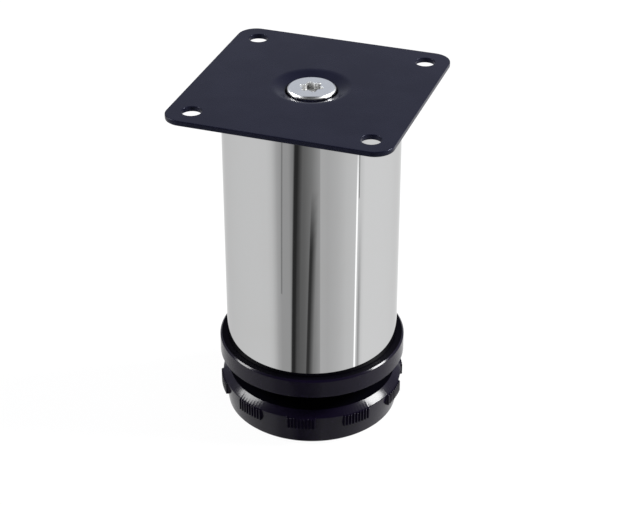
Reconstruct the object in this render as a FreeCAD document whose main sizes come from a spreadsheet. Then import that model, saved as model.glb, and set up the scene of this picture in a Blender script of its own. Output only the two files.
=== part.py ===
"""Adjustable cabinet leg: a chrome tube under a screwed-on mounting plate, with a screw-in levelling foot.

The floor is z = 0 and the tube's axis is the Z axis. The plate's edges run along X and Y.
Every size is in millimetres and every angle in degrees.
"""
import FreeCAD
import Part
import Sketcher
import math
import os

DIMENSIONS = [
    ("plate_side", 63.5, "mounting plate, edge to edge"),
    ("plate_gauge", 1.5, "mounting plate, sheet thickness"),
    ("plate_corner", 5.5, "mounting plate, corner radius"),
    ("plate_edge_round", 0.3, "mounting plate, rounding of its blanked edges"),
    ("bolt_spacing", 50.0, "corner holes, centre to centre"),
    ("bolt_hole", 5.5, "corner holes, diameter"),
    ("dish_width", 20.4, "pressed dish, diameter at the plate's face"),
    ("dish_floor_width", 15.4, "pressed dish, diameter of its flat floor"),
    ("dish_depth", 2.4, "pressed dish, depth"),
    ("dish_bend", 1.4, "pressed dish, bend radius"),
    ("screw_thread", 8.0, "plate screw, thread diameter"),
    ("screw_length", 12.0, "plate screw, length under its head"),
    ("screw_tip_chamfer", 0.8, "plate screw, chamfer of its tip"),
    ("screw_head_width", 13.6, "plate screw, head diameter"),
    ("screw_head_height", 2.2, "plate screw, head height"),
    ("screw_head_round", 0.7, "plate screw, rounding of the head's upper edge"),
    ("socket_width", 6.75, "six-lobe socket, over opposite lobes"),
    ("socket_core_width", 4.85, "six-lobe socket, between opposite lands"),
    ("socket_lobe_width", 1.5, "six-lobe socket, width of one lobe"),
    ("socket_depth", 2.8, "six-lobe socket, depth"),
    ("tube_width", 50.0, "tube, outer diameter"),
    ("tube_wall", 1.2, "tube, wall thickness"),
    ("tube_length", 77.9, "tube, length"),
    ("tube_end_break", 0.2, "tube, broken edge of its ends"),
    ("cup_gauge", 2.0, "top cup, sheet thickness"),
    ("cup_skirt", 10.0, "top cup, height over its skirt"),
    ("cup_bend", 2.5, "top cup, outer bend radius"),
    ("weld_nut_flats", 13.0, "weld nut, across flats"),
    ("weld_nut_height", 6.5, "weld nut, height"),
    ("nut_chamfer", 0.9, "both nuts, how far the corners are turned down"),
    ("plug_flange_width", 54.4, "tube plug, diameter of its flange"),
    ("plug_flange_height", 6.0, "tube plug, height of its flange"),
    ("plug_flange_chamfer", 0.5, "tube plug, chamfer of the flange's upper edge"),
    ("plug_flange_round", 0.4, "tube plug, rounding of the flange's lower edge"),
    ("plug_sleeve", 17.0, "tube plug, height of the sleeve in the tube"),
    ("plug_lead_in", 1.2, "tube plug, chamfer that leads the sleeve into the tube"),
    ("plug_wall", 2.2, "tube plug, moulded wall thickness"),
    ("plug_floor", 3.0, "tube plug, floor thickness"),
    ("plug_shoulder", 4.0, "tube plug, shoulder above the nut"),
    ("plug_web", 1.8, "tube plug, thickness of a web"),
    ("plug_web_drop", 2.5, "tube plug, webs' upper edge below the hub's top"),
    ("plug_web_count", 8, "tube plug, number of webs"),
    ("plug_nut_flats", 16.0, "plug nut, across flats"),
    ("plug_nut_height", 8.4, "plug nut, height"),
    ("plug_nut_depth", 0.5, "plug nut, how far it lies above the plug's underside"),
    ("stem_thread", 10.0, "foot stem, thread diameter"),
    ("stem_length", 32.0, "foot stem, length above its head"),
    ("stem_tip_chamfer", 1.0, "foot stem, chamfer of its tip"),
    ("stem_head_width", 18.0, "foot stem, head diameter"),
    ("stem_head_height", 4.0, "foot stem, head height"),
    ("stem_head_chamfer", 0.5, "foot stem, chamfer of the head's edges"),
    ("foot_gap", 5.8, "setting: gap between the foot and the plug"),
    ("foot_height", 11.3, "foot, height"),
    ("foot_base_width", 49.4, "foot, diameter at the floor"),
    ("foot_base_chamfer", 0.5, "foot, chamfer of the edge on the floor"),
    ("foot_shoulder_width", 53.2, "foot, diameter at the shoulder under the bevel"),
    ("foot_shoulder_height", 9.5, "foot, height of that shoulder"),
    ("foot_top_width", 49.2, "foot, diameter at the top of the bevel"),
    ("foot_sole", 3.0, "foot, thickness under the stem's head"),
    ("foot_wall", 2.6, "foot, moulded wall thickness"),
    ("foot_deck", 2.6, "foot, thickness of its upper deck"),
    ("foot_web", 1.8, "foot, thickness of a web on the underside"),
    ("foot_web_drop", 0.6, "foot, webs' lower edge above the floor"),
    ("pad_count", 10, "grip pads, number round the foot"),
    ("pad_start_angle", 30.3, "grip pads, direction of the first one"),
    ("pad_arc", 18.0, "grip pads, angle that one covers"),
    ("pad_width", 53.7, "grip pads, diameter over the grooves"),
    ("pad_height", 3.7, "grip pads, height"),
    ("grip_rib_width", 54.4, "grip ribs, diameter over their crests"),
    ("grip_rib_arc", 1.1, "grip ribs, angle that one covers"),
    ("grip_rib_count", 9, "grip ribs, number on a pad"),
    ("hole_gap", 0.5, "radial clearance of a screw's plain hole"),
    ("fit_gap", 0.05, "radial clearance between pieces that are pressed or welded together"),
    ("thread_gap", 0.1, "radial clearance between a thread's crests and its nut"),
    ("running_gap", 0.1, "clearance between the stem and the foot"),
]

# Heights above the floor, worked out from the stack of pieces.
FOOT_TOP = "dims.foot_height"
PLUG_UNDERSIDE = f"({FOOT_TOP} + dims.foot_gap)"
TUBE_SEAT = f"({PLUG_UNDERSIDE} + dims.plug_flange_height)"
PLATE_UNDERSIDE = f"({TUBE_SEAT} + dims.tube_length)"
PLATE_TOP = f"({PLATE_UNDERSIDE} + dims.plate_gauge)"
DISH_FLOOR = f"({PLATE_TOP} - dims.dish_depth)"
DISH_UNDERSIDE = f"({DISH_FLOOR} - dims.plate_gauge)"
CUP_INSIDE = f"({DISH_UNDERSIDE} - dims.cup_gauge)"
SCREW_TOP = f"({DISH_FLOOR} + dims.screw_head_height)"
NUT_UNDERSIDE = f"({PLUG_UNDERSIDE} + dims.plug_nut_depth)"
NUT_SEAT = f"({NUT_UNDERSIDE} + dims.plug_nut_height)"
HUB_TOP = f"({NUT_SEAT} + dims.plug_shoulder)"
STEM_HEAD_UNDERSIDE = "(dims.foot_sole + dims.running_gap)"
STEM_HEAD_TOP = f"({STEM_HEAD_UNDERSIDE} + dims.stem_head_height)"
DECK_UNDERSIDE = f"({FOOT_TOP} - dims.foot_deck)"
PAD_UNDERSIDE = "(dims.foot_shoulder_height - dims.pad_height)"

# Radii that fits share.
TUBE_BORE = "(dims.tube_width / 2 - dims.tube_wall)"
SCREW_HOLE = "(dims.screw_thread / 2 + dims.hole_gap)"
STEM_HOLE = "(dims.stem_thread / 2 + dims.hole_gap)"
NUT_POCKET_FLATS = "(dims.plug_nut_flats + 2 * dims.fit_gap)"
PLUG_HUB = f"({NUT_POCKET_FLATS} / sqrt(3) + dims.plug_wall)"
SLEEVE_OUTSIDE = f"({TUBE_BORE} - dims.fit_gap)"
SLEEVE_INSIDE = f"({SLEEVE_OUTSIDE} - dims.plug_wall)"
HEAD_POCKET = "(dims.stem_head_width / 2 + dims.running_gap)"
FOOT_HUB = f"({HEAD_POCKET} + dims.foot_wall)"
FOOT_INSIDE = "(dims.foot_base_width / 2 - dims.foot_wall)"

SAME_PLACE = 1e-4

doc = FreeCAD.newDocument("cabinet_leg")
dims = doc.addObject("Spreadsheet::Sheet", "dims")


def fill_sheet():
    """Write the driving dimensions, one to a row, with the name that expressions use."""
    for row, (name, size, meaning) in enumerate(DIMENSIONS, start=1):
        dims.set(f"A{row}", meaning)
        dims.set(f"B{row}", str(size))
        dims.setAlias(f"B{row}", name)
    doc.recompute()


def value(expression):
    """The number that an expression on the sheet gives."""
    return float(dims.evalExpression(expression))


def new_body(name):
    body = doc.addObject("PartDesign::Body", name)
    body.Label = name
    return body


def new_sketch(body, name, plane="XZ_Plane", level=None):
    """A sketch on one of the body's own origin planes, raised to a level along the plane's normal."""
    sketch = body.newObject("Sketcher::SketchObject", name)
    support = next(item for item in body.Origin.OriginFeatures if item.Role == plane)
    sketch.AttachmentSupport = [(support, "")]
    sketch.MapMode = "FlatFace"
    if level:
        sketch.setExpression("AttachmentOffset.Base.z", level)
    return sketch


def pin_point(sketch, geometry, end, across, up):
    """Hold one end of a line, or a circle's centre, at a place given by two expressions."""
    for kind, axis, expression in (("DistanceX", -2, across), ("DistanceY", -1, up)):
        size = value(expression)
        if abs(size) < SAME_PLACE:
            sketch.addConstraint(Sketcher.Constraint("PointOnObject", geometry, end, axis))
        else:
            index = sketch.addConstraint(Sketcher.Constraint(kind, -1, 1, geometry, end, size))
            sketch.setExpression(f"Constraints[{index}]", expression)


def draw_outline(sketch, corners):
    """A closed run of straight lines through corners, each given as two expressions."""
    points = [FreeCAD.Vector(value(across), value(up), 0) for across, up in corners]
    following = points[1:] + points[:1]
    lines = [sketch.addGeometry(Part.LineSegment(a, b)) for a, b in zip(points, following)]
    for line, after in zip(lines, lines[1:] + lines[:1]):
        sketch.addConstraint(Sketcher.Constraint("Coincident", line, 2, after, 1))
    for line, (across, up) in zip(lines, corners):
        pin_point(sketch, line, 1, across, up)


def draw_circle(sketch, radius, across="0", up="0"):
    centre = FreeCAD.Vector(value(across), value(up), 0)
    upright = FreeCAD.Vector(0, 0, 1)
    circle = sketch.addGeometry(Part.Circle(centre, upright, value(radius)))
    pin_point(sketch, circle, 3, across, up)
    index = sketch.addConstraint(Sketcher.Constraint("Radius", circle, value(radius)))
    sketch.setExpression(f"Constraints[{index}]", radius)


def draw_hexagon(sketch, flats):
    """A hexagon about the axis, with two of its corners on the sketch's X axis."""
    corner = f"{flats} / sqrt(3)"
    half_side = f"{flats} / (2 * sqrt(3))"
    half_flats = f"{flats} / 2"
    right = [(half_side, f"-{half_flats}"), (corner, "0"), (half_side, half_flats)]
    left = [(f"-{half_side}", half_flats), (f"-{corner}", "0"), (f"-{half_side}", f"-{half_flats}")]
    draw_outline(sketch, right + left)


def revolve(body, name, corners, kind="PartDesign::Revolution"):
    """Turn a profile of (radius, height) corners about the Z axis, to add it or, as a groove, to cut it."""
    sketch = new_sketch(body, name + "_profile")
    draw_outline(sketch, corners)
    feature = body.newObject(kind, name)
    feature.Profile = sketch
    feature.ReferenceAxis = (sketch, ["V_Axis"])
    feature.Angle = 360
    doc.recompute()
    return feature


def pad(body, name, sketch, length):
    feature = body.newObject("PartDesign::Pad", name)
    feature.Profile = sketch
    feature.setExpression("Length", length)
    doc.recompute()
    return feature


def pocket(body, name, sketch, depth, upwards=False):
    """Cut from the sketch down into the body, or upwards from its underside."""
    before = body.Shape.Volume
    feature = body.newObject("PartDesign::Pocket", name)
    feature.Profile = sketch
    feature.Reversed = upwards
    feature.setExpression("Length", depth)
    doc.recompute()
    if feature.Shape.Volume > before - SAME_PLACE:
        raise RuntimeError(f"{name} cuts nothing")
    return feature


def polar_pattern(body, name, features, count):
    """Repeat features evenly round the Z axis."""
    pattern = body.newObject("PartDesign::PolarPattern", name)
    pattern.Originals = features
    pattern.Axis = (features[0].Profile[0], ["N_Axis"])
    pattern.Angle = 360
    pattern.setExpression("Occurrences", count)
    body.Tip = pattern
    doc.recompute()
    return pattern


def dress(body, name, kind, feature, edges, size):
    """Round or chamfer the edges, given as their numbers on a feature."""
    dressed = body.newObject(kind, name)
    dressed.Base = (feature, [f"Edge{number}" for number in edges])
    dressed.setExpression("Radius" if kind == "PartDesign::Fillet" else "Size", size)
    doc.recompute()
    return dressed


def rim_edges(feature, rims):
    """Numbers of the full circles about the Z axis that have one of the (radius, height) pairs."""
    wanted = [(value(radius), value(height)) for radius, height in rims]
    found = []
    for number, edge in enumerate(feature.Shape.Edges, start=1):
        if isinstance(edge.Curve, Part.Circle):
            radius, height = edge.Curve.Radius, edge.Curve.Center.z
            if any(math.hypot(radius - r, height - z) < SAME_PLACE for r, z in wanted):
                found.append(number)
    return found


def upright_edges(feature):
    """Numbers of the straight edges that run along Z."""
    found = []
    for number, edge in enumerate(feature.Shape.Edges, start=1):
        if isinstance(edge.Curve, Part.Line) and abs(edge.Curve.Direction.z) > 1 - SAME_PLACE:
            found.append(number)
    return found


def level_edges_outside(feature, radius):
    """Numbers of the edges that lie level and wholly outside a radius."""
    found = []
    for number, edge in enumerate(feature.Shape.Edges, start=1):
        middle = edge.valueAt((edge.FirstParameter + edge.LastParameter) / 2)
        if edge.BoundBox.ZLength < SAME_PLACE and math.hypot(middle.x, middle.y) > value(radius):
            found.append(number)
    return found


def make_mounting_plate():
    """Square sheet with rounded corners and four holes, pressed down in the middle for the screw's head."""
    body = new_body("mounting_plate")
    half = "dims.plate_side / 2"
    rim = "dims.dish_width / 2"
    floor = "dims.dish_floor_width / 2"
    outline = new_sketch(body, "plate_outline", "XY_Plane", PLATE_UNDERSIDE)
    draw_outline(outline, [(f"-{half}", f"-{half}"), (half, f"-{half}"), (half, half), (f"-{half}", half)])
    draw_circle(outline, rim)
    blank = pad(body, "plate_blank", outline, "dims.plate_gauge")
    corners = upright_edges(blank)
    blank = dress(body, "plate_corners", "PartDesign::Fillet", blank, corners, "dims.plate_corner")
    edges = level_edges_outside(blank, f"{rim} + dims.plate_edge_round")
    dress(body, "plate_edges", "PartDesign::Fillet", blank, edges, "dims.plate_edge_round")
    dish = revolve(body, "plate_dish", [
        (SCREW_HOLE, DISH_UNDERSIDE),
        (floor, DISH_UNDERSIDE),
        (rim, PLATE_UNDERSIDE),
        (rim, PLATE_TOP),
        (floor, DISH_FLOOR),
        (SCREW_HOLE, DISH_FLOOR),
    ])
    bends = rim_edges(dish, [
        (floor, DISH_UNDERSIDE),
        (rim, PLATE_UNDERSIDE),
        (rim, PLATE_TOP),
        (floor, DISH_FLOOR),
    ])
    dress(body, "plate_dish_bends", "PartDesign::Fillet", dish, bends, "dims.dish_bend")
    holes = new_sketch(body, "plate_bolt_circles", "XY_Plane", PLATE_TOP)
    for across in ("-dims.bolt_spacing / 2", "dims.bolt_spacing / 2"):
        for up in ("-dims.bolt_spacing / 2", "dims.bolt_spacing / 2"):
            draw_circle(holes, "dims.bolt_hole / 2", across, up)
    pocket(body, "plate_bolt_holes", holes, "dims.plate_gauge")
    return body


def make_plate_screw():
    """Flat round head with a six-lobe socket, on a shank whose thread is left plain."""
    body = new_body("plate_screw")
    shank = "dims.screw_thread / 2"
    head = "dims.screw_head_width / 2"
    tip = f"({DISH_FLOOR} - dims.screw_length)"
    turned = revolve(body, "screw_turned", [
        ("0", tip),
        (f"{shank} - dims.screw_tip_chamfer", tip),
        (shank, f"{tip} + dims.screw_tip_chamfer"),
        (shank, DISH_FLOOR),
        (head, DISH_FLOOR),
        (head, SCREW_TOP),
        ("0", SCREW_TOP),
    ])
    top_rim = rim_edges(turned, [(head, SCREW_TOP)])
    dress(body, "screw_head_edge", "PartDesign::Fillet", turned, top_rim, "dims.screw_head_round")
    core = new_sketch(body, "screw_socket_circle", "XY_Plane", SCREW_TOP)
    draw_circle(core, "dims.socket_core_width / 2")
    pocket(body, "screw_socket_core", core, "dims.socket_depth")
    lobe = new_sketch(body, "screw_lobe_circle", "XY_Plane", SCREW_TOP)
    draw_circle(lobe, "dims.socket_lobe_width / 2", "(dims.socket_width - dims.socket_lobe_width) / 2")
    cut = pocket(body, "screw_socket_lobe", lobe, "dims.socket_depth")
    polar_pattern(body, "screw_socket_lobes", [cut], "6")
    return body


def make_leg_tube():
    """Plain tube between the plug's flange and the plate, with its end edges broken."""
    body = new_body("leg_tube")
    outside = "dims.tube_width / 2"
    ring = revolve(body, "tube_ring", [
        (TUBE_BORE, TUBE_SEAT),
        (outside, TUBE_SEAT),
        (outside, PLATE_UNDERSIDE),
        (TUBE_BORE, PLATE_UNDERSIDE),
    ])
    ends = rim_edges(ring, [(outside, TUBE_SEAT), (outside, PLATE_UNDERSIDE)])
    dress(body, "tube_ends", "PartDesign::Chamfer", ring, ends, "dims.tube_end_break")
    return body


def make_top_cup():
    """Cup pressed from sheet, open side down, that closes the tube's upper end under the dish."""
    body = new_body("top_cup")
    outside = f"({TUBE_BORE} - dims.fit_gap)"
    inside = f"({outside} - dims.cup_gauge)"
    hem = f"({DISH_UNDERSIDE} - dims.cup_skirt)"
    shell = revolve(body, "cup_shell", [
        (SCREW_HOLE, CUP_INSIDE),
        (inside, CUP_INSIDE),
        (inside, hem),
        (outside, hem),
        (outside, DISH_UNDERSIDE),
        (SCREW_HOLE, DISH_UNDERSIDE),
    ])
    outer_bend = rim_edges(shell, [(outside, DISH_UNDERSIDE)])
    shell = dress(body, "cup_outer_bend", "PartDesign::Fillet", shell, outer_bend, "dims.cup_bend")
    inner_bend = rim_edges(shell, [(inside, CUP_INSIDE)])
    dress(body, "cup_inner_bend", "PartDesign::Fillet", shell, inner_bend, "dims.cup_bend - dims.cup_gauge")
    return body


def make_nut(name, flats, height, bore, underside):
    """Hex nut about the Z axis with its corners turned down at both faces and its thread left plain."""
    body = new_body(name)
    hexagon = new_sketch(body, name + "_hexagon", "XY_Plane", underside)
    draw_hexagon(hexagon, flats)
    pad(body, name + "_blank", hexagon, height)
    corner = f"{flats} / sqrt(3)"
    face = f"({corner} - dims.nut_chamfer)"
    drop = "dims.nut_chamfer * tan(30)"
    top = f"({underside} + {height})"
    for side, level, slope in (("lower", underside, "+"), ("upper", top, "-")):
        revolve(body, f"{name}_{side}_corners", [
            (face, level),
            (corner, level),
            (corner, f"{level} {slope} {drop}"),
        ], "PartDesign::Groove")
    circle = new_sketch(body, name + "_bore_circle", "XY_Plane", top)
    draw_circle(circle, bore)
    pocket(body, name + "_bore", circle, height)
    return body


def make_tube_plug():
    """Moulded plug: a flange under the tube's end, a sleeve up inside it, and a hub that holds the nut."""
    body = new_body("tube_plug")
    flange = "dims.plug_flange_width / 2"
    floor = f"({PLUG_UNDERSIDE} + dims.plug_floor)"
    sleeve_top = f"({TUBE_SEAT} + dims.plug_sleeve)"
    revolve(body, "plug_shell", [
        (STEM_HOLE, PLUG_UNDERSIDE),
        (f"{flange} - dims.plug_flange_round", PLUG_UNDERSIDE),
        (flange, f"{PLUG_UNDERSIDE} + dims.plug_flange_round"),
        (flange, f"{TUBE_SEAT} - dims.plug_flange_chamfer"),
        (f"{flange} - dims.plug_flange_chamfer", TUBE_SEAT),
        (SLEEVE_OUTSIDE, TUBE_SEAT),
        (SLEEVE_OUTSIDE, f"{sleeve_top} - dims.plug_lead_in"),
        (f"{SLEEVE_OUTSIDE} - dims.plug_lead_in / 2", sleeve_top),
        (SLEEVE_INSIDE, sleeve_top),
        (SLEEVE_INSIDE, floor),
        (PLUG_HUB, floor),
        (PLUG_HUB, HUB_TOP),
        (STEM_HOLE, HUB_TOP),
    ])
    web = new_sketch(body, "plug_web_outline", "XY_Plane", PLUG_UNDERSIDE)
    half = "dims.plug_web / 2"
    start = f"({PLUG_HUB} - dims.plug_wall / 2)"
    end = f"({SLEEVE_INSIDE} + dims.plug_wall / 2)"
    draw_outline(web, [(start, f"-{half}"), (end, f"-{half}"), (end, half), (start, half)])
    one_web = pad(body, "plug_web", web, f"{HUB_TOP} - dims.plug_web_drop - {PLUG_UNDERSIDE}")
    polar_pattern(body, "plug_webs", [one_web], "dims.plug_web_count")
    hexagon = new_sketch(body, "plug_nut_hexagon", "XY_Plane", PLUG_UNDERSIDE)
    draw_hexagon(hexagon, NUT_POCKET_FLATS)
    pocket(body, "plug_nut_pocket", hexagon, f"{NUT_SEAT} - {PLUG_UNDERSIDE}", upwards=True)
    return body


def make_foot_stem():
    """Steel stem with a round head that the foot is moulded round. Its thread is left plain."""
    body = new_body("foot_stem")
    shank = "dims.stem_thread / 2"
    head = "dims.stem_head_width / 2"
    tip = f"({STEM_HEAD_TOP} + dims.stem_length)"
    revolve(body, "stem_turned", [
        ("0", STEM_HEAD_UNDERSIDE),
        (f"{head} - dims.stem_head_chamfer", STEM_HEAD_UNDERSIDE),
        (head, f"{STEM_HEAD_UNDERSIDE} + dims.stem_head_chamfer"),
        (head, f"{STEM_HEAD_TOP} - dims.stem_head_chamfer"),
        (f"{head} - dims.stem_head_chamfer", STEM_HEAD_TOP),
        (shank, STEM_HEAD_TOP),
        (shank, f"{tip} - dims.stem_tip_chamfer"),
        (f"{shank} - dims.stem_tip_chamfer", tip),
        ("0", tip),
    ])
    return body


def make_foot():
    """Moulded foot: a bevelled shell with webs under its deck, a hub round the stem and ribbed grip pads."""
    body = new_body("foot")
    base = "dims.foot_base_width / 2"
    shoulder = "dims.foot_shoulder_width / 2"
    stem_bore = "(dims.stem_thread / 2 + dims.running_gap)"
    head_room = f"({STEM_HEAD_TOP} + dims.running_gap)"
    revolve(body, "foot_shell", [
        ("0", "0"),
        (FOOT_HUB, "0"),
        (FOOT_HUB, DECK_UNDERSIDE),
        (FOOT_INSIDE, DECK_UNDERSIDE),
        (FOOT_INSIDE, "0"),
        (f"{base} - dims.foot_base_chamfer", "0"),
        (base, "dims.foot_base_chamfer"),
        (shoulder, "dims.foot_shoulder_height"),
        ("dims.foot_top_width / 2", FOOT_TOP),
        (stem_bore, FOOT_TOP),
        (stem_bore, head_room),
        (HEAD_POCKET, head_room),
        (HEAD_POCKET, "dims.foot_sole"),
        ("0", "dims.foot_sole"),
    ])
    web = new_sketch(body, "foot_web_outline", "XY_Plane", "dims.foot_web_drop")
    half = "dims.foot_web / 2"
    start = f"({FOOT_HUB} - dims.foot_wall / 2)"
    end = f"({FOOT_INSIDE} + dims.foot_wall / 2)"
    draw_outline(web, [(start, f"-{half}"), (end, f"-{half}"), (end, half), (start, half)])
    one_web = pad(body, "foot_web", web, f"{DECK_UNDERSIDE} + dims.foot_deck / 2 - dims.foot_web_drop")
    polar_pattern(body, "foot_webs", [one_web], "dims.pad_count")
    block = draw_sector(body, "pad_block_outline", "dims.pad_width / 2", "dims.pad_arc", "dims.pad_start_angle")
    one_pad = pad(body, "pad_block", block, "dims.pad_height")
    polar_pattern(body, "pad_blocks", [one_pad], "dims.pad_count")
    first = "dims.pad_start_angle - (dims.pad_arc - dims.grip_rib_arc) / 2"
    rib = draw_sector(body, "grip_rib_outline", "dims.grip_rib_width / 2", "dims.grip_rib_arc", f"({first})")
    one_rib = pad(body, "grip_rib", rib, "dims.pad_height")
    along_pad = new_turn(rib, "ribs_along_a_pad", "dims.pad_arc - dims.grip_rib_arc", "dims.grip_rib_count")
    round_foot = new_turn(rib, "ribs_round_the_foot", "360", "dims.pad_count")
    ribs = body.newObject("PartDesign::MultiTransform", "grip_ribs")
    ribs.Originals = [one_rib]
    ribs.Transformations = [along_pad, round_foot]
    body.Tip = ribs
    doc.recompute()
    return body


def draw_sector(body, name, radius, arc, middle):
    """A four-sided patch at the level of the pads, from inside the foot's wall out to a radius."""
    sketch = new_sketch(body, name, "XY_Plane", PAD_UNDERSIDE)
    inner = "(dims.foot_base_width / 2 - dims.foot_wall / 2)"
    places = [(inner, "-"), (radius, "-"), (radius, "+"), (inner, "+")]
    corners = []
    for distance, side in places:
        angle = f"({middle} {side} {arc} / 2)"
        corners.append((f"{distance} * cos({angle})", f"{distance} * sin({angle})"))
    draw_outline(sketch, corners)
    return sketch


def new_turn(sketch, name, angle, count):
    """One step of a double pattern: copies spread over an angle about the Z axis."""
    turn = doc.addObject("PartDesign::PolarPattern", name)
    turn.Axis = (sketch, ["N_Axis"])
    turn.setExpression("Angle", angle)
    turn.setExpression("Occurrences", count)
    return turn


def check_and_write(bodies):
    """Stop if any object failed or a shape isn't one sound solid, then write each body to its own file."""
    doc.recompute()
    for item in doc.Objects:
        if "Invalid" in item.State or "Error" in item.State:
            raise RuntimeError(f"{item.Name} failed: {item.State}")
    for body in bodies:
        shape = body.Shape
        if shape.isNull() or not shape.isValid() or len(shape.Solids) != 1:
            raise RuntimeError(f"{body.Label} isn't one sound solid")
    os.makedirs("parts", exist_ok=True)
    for body in bodies:
        body.Shape.exportStep(f"parts/{body.Label}.step")
        print(f"{body.Label}: {body.Shape.Volume:.1f} mm3")


fill_sheet()
check_and_write([
    make_mounting_plate(),
    make_plate_screw(),
    make_leg_tube(),
    make_top_cup(),
    make_nut(
        "weld_nut",
        "dims.weld_nut_flats",
        "dims.weld_nut_height",
        "dims.screw_thread / 2 + dims.thread_gap",
        f"({CUP_INSIDE} - dims.weld_nut_height)",
    ),
    make_tube_plug(),
    make_nut(
        "plug_nut",
        "dims.plug_nut_flats",
        "dims.plug_nut_height",
        "dims.stem_thread / 2 + dims.thread_gap",
        NUT_UNDERSIDE,
    ),
    make_foot_stem(),
    make_foot(),
])
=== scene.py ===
"""Looks of an adjustable cabinet leg: fine meshes of its pieces, their finishes, floor, lamps and camera.

Lengths are in metres, and named angles in degrees. The floor is z = 0, the tube's axis is the Z axis, and
the plate's edges run along X and Y.
"""
import math

import bmesh
import bpy
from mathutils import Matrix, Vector


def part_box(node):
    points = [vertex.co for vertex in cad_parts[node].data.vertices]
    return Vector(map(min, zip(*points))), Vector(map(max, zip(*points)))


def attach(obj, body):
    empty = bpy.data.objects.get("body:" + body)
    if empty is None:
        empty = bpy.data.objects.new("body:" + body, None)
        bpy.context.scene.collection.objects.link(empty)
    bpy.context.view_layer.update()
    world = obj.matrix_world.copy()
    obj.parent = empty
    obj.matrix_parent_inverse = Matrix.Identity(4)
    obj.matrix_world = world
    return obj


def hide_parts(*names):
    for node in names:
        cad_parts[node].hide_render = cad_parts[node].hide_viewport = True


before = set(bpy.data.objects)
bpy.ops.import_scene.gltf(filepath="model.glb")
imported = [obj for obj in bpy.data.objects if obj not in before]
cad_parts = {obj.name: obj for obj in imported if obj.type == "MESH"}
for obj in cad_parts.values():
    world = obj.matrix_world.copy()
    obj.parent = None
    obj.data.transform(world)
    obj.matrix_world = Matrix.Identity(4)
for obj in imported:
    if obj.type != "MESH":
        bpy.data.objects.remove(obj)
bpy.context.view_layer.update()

MM = 0.001
TURN = 2 * math.pi
UPWARDS = (0, 0, 1)

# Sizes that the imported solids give.
plate_low, plate_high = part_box("mounting_plate")
tube_low, tube_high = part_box("leg_tube")
plug_low, plug_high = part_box("tube_plug")
stem_low, stem_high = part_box("foot_stem")
screw_low, screw_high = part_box("plate_screw")
foot_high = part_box("foot")[1]
nut_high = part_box("plug_nut")[1]

# Plate: a blanked sheet with a pressed dish. The dish's upper side rises gently from close round the screw.
PLATE_HALF = plate_high.x
PLATE_TOP = plate_high.z
PLATE_UNDERSIDE = tube_high.z
PLATE_CORNER = 5.5 * MM
PLATE_EDGE_ROUND = 0.3 * MM
BOLT_OFFSET = 25.0 * MM
BOLT_RADIUS = 2.75 * MM
HOLE_EDGE_ROUND = 0.2 * MM
DISH_RIM = 10.2 * MM
DISH_FLOOR_RADIUS = 7.7 * MM
DISH_FLOOR = PLATE_TOP - 2.4 * MM
DISH_UNDERSIDE = plate_low.z
DISH_BEND = 1.4 * MM
DISH_RIM_BEND = 4.0 * MM
DISH_UPPER_RIM = 10.6 * MM
DISH_SEAT = 7.05 * MM
DISH_SEAT_RISE = 1.0 * MM
DISH_UPPER_FLOOR = 6.9 * MM
SCREW_HOLE = 4.5 * MM

# Plate screw.
SCREW_HEAD = screw_high.x
SCREW_HEAD_ROUND = 1.1 * MM
SCREW_SEAT_ROUND = 0.2 * MM
SCREW_SHANK = 4.0 * MM
SCREW_NECK = 4.5 * MM
SCREW_PITCH = 1.25 * MM
SCREW_RUN_OUT = 1.5 * MM
SOCKET_LOBES = 3.375 * MM
SOCKET_LANDS = 2.425 * MM
SOCKET_DEPTH = 1.9 * MM
SOCKET_EDGE_ROUND = 0.15 * MM
SOCKET_FLOOR_SHARE = 0.95

# Tube.
TUBE_RADIUS = tube_high.x
TUBE_BORE = 23.8 * MM
TUBE_END_ROUND = 0.25 * MM

# Tube plug.
FLANGE_RADIUS = plug_high.x
FLANGE_TOP = tube_low.z
FLANGE_CHAMFER = 0.5 * MM
FLANGE_LOWER_CHAMFER = 0.4 * MM
FLANGE_SOFTNESS = 0.18 * MM
FLANGE_TOP_SOFTNESS = 0.3 * MM
SLEEVE_RADIUS = 23.75 * MM
SLEEVE_BORE = 21.55 * MM
SLEEVE_LEAD_IN = 1.2 * MM
PLUG_FLOOR = plug_low.z + 3.0 * MM
PLUG_HUB = 11.5 * MM
PLUG_HUB_TOP = 30.0 * MM
PLUG_WEB_TOP = 27.5 * MM
PLUG_WEBS = 8
STEM_HOLE = 5.5 * MM
NUT_FLATS = 16.1 * MM
NUT_CUT_PAST = 1.0 * MM

# Webs of the plug and the foot.
WEB_THICKNESS = 1.8 * MM
WEB_EDGE_ROUND = 0.2 * MM

# Foot stem.
STEM_RADIUS = 5.0 * MM
STEM_PITCH = 1.5 * MM
STEM_RUN_OUT = 4.0 * MM
STEM_HEAD = stem_high.x
STEM_HEAD_TOP = 7.1 * MM
STEM_HEAD_CHAMFER = 0.5 * MM

# Threads of the plate screw and the stem, in shares of the pitch.
THREAD_DEPTH_SHARE = 0.6
THREAD_GROOVE_SHARE = 0.44
THREAD_FLANK_SHARE = 0.32
THREAD_COLUMNS = 72
THREAD_ROWS_A_TURN = 10

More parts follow.
